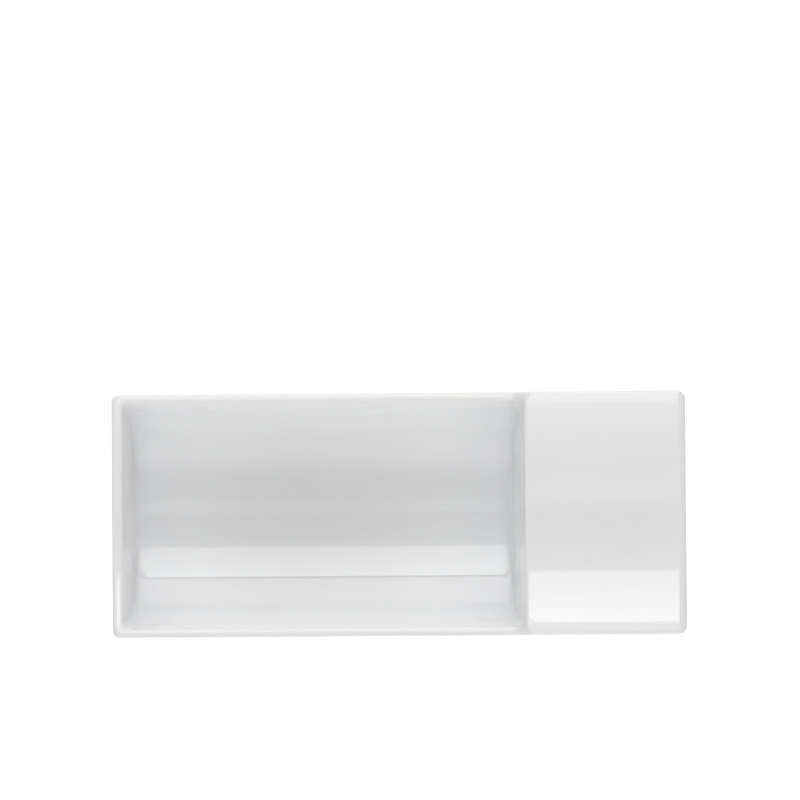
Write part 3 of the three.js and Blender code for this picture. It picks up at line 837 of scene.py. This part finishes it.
ROOM_COLOUR, ROOM_STRENGTH = (0.98, 0.99, 1, 1), 0.12
world = bpy.data.worlds.new("studio")
bpy.context.scene.world = world
world.use_nodes = True
nodes, links = world.node_tree.nodes, world.node_tree.links
room_light, room_white = nodes.new("ShaderNodeBackground"), nodes["Background"]
room_light.inputs["Color"].default_value = ROOM_COLOUR
room_light.inputs["Strength"].default_value = ROOM_STRENGTH
room_white.inputs["Color"].default_value = (1, 1, 1, 1)
room_white.inputs["Strength"].default_value = 1
mixed = nodes.new("ShaderNodeMixShader")
links.new(seen_white(nodes, links), mixed.inputs[0])
links.new(room_light.outputs[0], mixed.inputs[1])
links.new(room_white.outputs[0], mixed.inputs[2])
links.new(mixed.outputs[0], nodes["World Output"].inputs[0])


LAMP_COLOUR, AIMED_AT = (1, 0.994, 0.982), Vector((0, 0, 0.02))


def lamp(name, centre, width, height, radiance, mirrored):
    """A soft rectangular lamp of an even brightness, turned towards the dish. Places and sizes are in
    metres, and mirrored says whether the glaze shows it."""
    data = bpy.data.lights.new(name, "AREA")
    data.shape, data.size, data.size_y = "RECTANGLE", width, height
    data.energy = radiance * math.pi * width * height
    data.color = LAMP_COLOUR
    panel = bpy.data.objects.new(name, data)
    bpy.context.scene.collection.objects.link(panel)
    panel.location = centre
    panel.rotation_euler = (Vector(centre) - AIMED_AT).to_track_quat("Z", "Y").to_euler()
    panel.visible_glossy = mirrored


lamp("back_softbox", (0, 1.8, 1.3), 2.6, 1.2, 2.74, False)
lamp("front_softbox", (0, -1.7, 1.5), 2.6, 1.2, 2.26, False)
lamp("overhead_softbox", (0, 0, 2.42), 1.4, 1.4, 1.3, False)
lamp("back_low_light", (0, 2.2, 0.55), 2.4, 0.7, 2.4, True)
lamp("front_low_light", (0, -2.2, 0.55), 2.4, 0.7, 2.3, True)
lamp("left_low_light", (-2.2, 0, 0.6), 1.6, 0.9, 1.3, True)
lamp("right_low_light", (2.2, 0, 0.6), 1.6, 0.9, 0.9, True)

# Arch. What the level glaze mirrors: a white arch of cloth over the table, brightest where a lamp shines
# through it beside the dark slot for the camera. Each pair is a place from front to back, in metres, and
# the brightness there.
ARCH_RADIUS, ARCH_HALF_LENGTH = 2.4, 0.6
ARCH_FRONT = [(-2.36, 0.5), (-2.0, 0.9), (-1.5, 1.2), (-0.9, 1.6), (-0.45, 1.8), (-0.20, 1.9), (-0.026, 2.0)]
LIT_CLOTH = [(-0.022, 6.2), (0.0, 4.4), (0.0170, 3.2)]
CAMERA_SLOT = [(0.0174, 1.1), (0.030, 0.4), (0.045, 0.1), (0.059, 0.02)]
ARCH_BACK = [(0.061, 0.8), (0.085, 0.4), (0.123, 2.0), (0.20, 3.2), (0.30, 3.8)]
ARCH_BACK += [(0.90, 3.4), (1.5, 3.0), (2.0, 2.4), (2.36, 1.7)]
ARCH_BRIGHTNESS = ARCH_FRONT + LIT_CLOTH + CAMERA_SLOT + ARCH_BACK
arch_mesh = bpy.data.meshes.new("arch")
arch_mesh.from_pydata(
    [
        (x, y, math.sqrt(ARCH_RADIUS**2 - y**2))
        for y, brightness in ARCH_BRIGHTNESS
        for x in (-ARCH_HALF_LENGTH, ARCH_HALF_LENGTH)
    ],
    [],
    [(2 * k, 2 * k + 1, 2 * k + 3, 2 * k + 2) for k in range(len(ARCH_BRIGHTNESS) - 1)],
)
arch_glow = arch_mesh.attributes.new("brightness", "FLOAT", "POINT")
arch_glow.data.foreach_set("value", np.repeat([brightness for y, brightness in ARCH_BRIGHTNESS], 2))
arch = bpy.data.objects.new("arch", arch_mesh)
bpy.context.scene.collection.objects.link(arch)
arch.visible_camera = arch.visible_diffuse = arch.visible_shadow = arch.visible_transmission = False
arch_light = bpy.data.materials.new("arch_light")
arch_light.use_nodes = True
nodes, links = arch_light.node_tree.nodes, arch_light.node_tree.links
nodes.clear()
stored, lit = nodes.new("ShaderNodeAttribute"), nodes.new("ShaderNodeEmission")
stored.attribute_name = "brightness"
links.new(stored.outputs["Fac"], lit.inputs["Strength"])
out = nodes.new("ShaderNodeOutputMaterial")
links.new(lit.outputs[0], out.inputs[0])
arch_mesh.materials.append(arch_light)

# Camera. It stands two metres over the dish, a little in front of its middle, and is turned and aimed so
# that the dish lies where the photograph's view from above shows it.
PHOTO_PIXELS, PIXEL_MM, DISH_ROW, PHOTO_TURN = 800, 0.2872, 514.3, math.radians(-0.42)
CAMERA_HEIGHT, CAMERA_FORWARD, RIM_HEIGHT, SENSOR = 2000.0, 45.0, 34.0, 36
scene = bpy.context.scene
scene.view_settings.view_transform = "Standard"
camera_data = bpy.data.cameras.new("camera")
camera = bpy.data.objects.new("camera", camera_data)
scene.collection.objects.link(camera)
scene.camera = camera
camera_data.sensor_width = SENSOR
rim_distance = CAMERA_HEIGHT - RIM_HEIGHT
camera_data.lens = SENSOR * rim_distance / (PHOTO_PIXELS * PIXEL_MM)
camera.location = (0, -CAMERA_FORWARD * MM, CAMERA_HEIGHT * MM)
aim_y = (DISH_ROW - PHOTO_PIXELS / 2) * PIXEL_MM
tilt = math.atan((aim_y + CAMERA_FORWARD) / rim_distance)
camera.rotation_euler = (tilt, 0, PHOTO_TURN)
